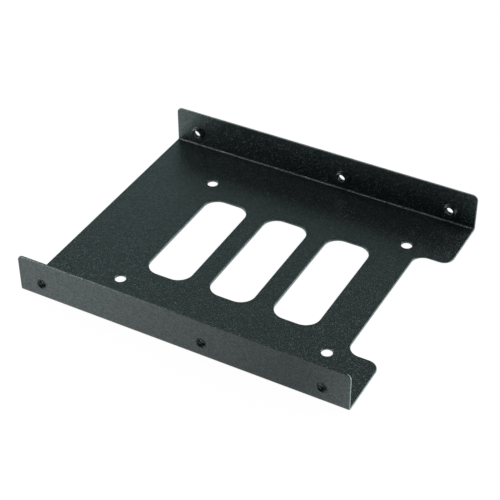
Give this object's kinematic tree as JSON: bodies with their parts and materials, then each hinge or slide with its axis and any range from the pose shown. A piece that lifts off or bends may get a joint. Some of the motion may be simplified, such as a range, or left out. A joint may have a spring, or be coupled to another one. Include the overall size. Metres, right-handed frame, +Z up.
{
  "type": "drive bay adapter bracket",
  "caption": "Folded sheet-steel tray that carries a small drive in a larger drive bay, with slots and a connector notch in its floor and tapped holes in its side flanges.",
  "frame": {"origin": "under the middle of the tray, on the surface that it rests on", "axes": "+X along the flanges towards the notched end, +Y across the tray to the far flange, +Z up from the floor"},
  "size_m": [0.1196, 0.1016, 0.0146],
  "materials": {
    "black_powder_coat": "satin, fine-textured black powder coat"
  },
  "bodies": {
    "root": {"bracket": "black_powder_coat"}
  },
  "joints": []
}
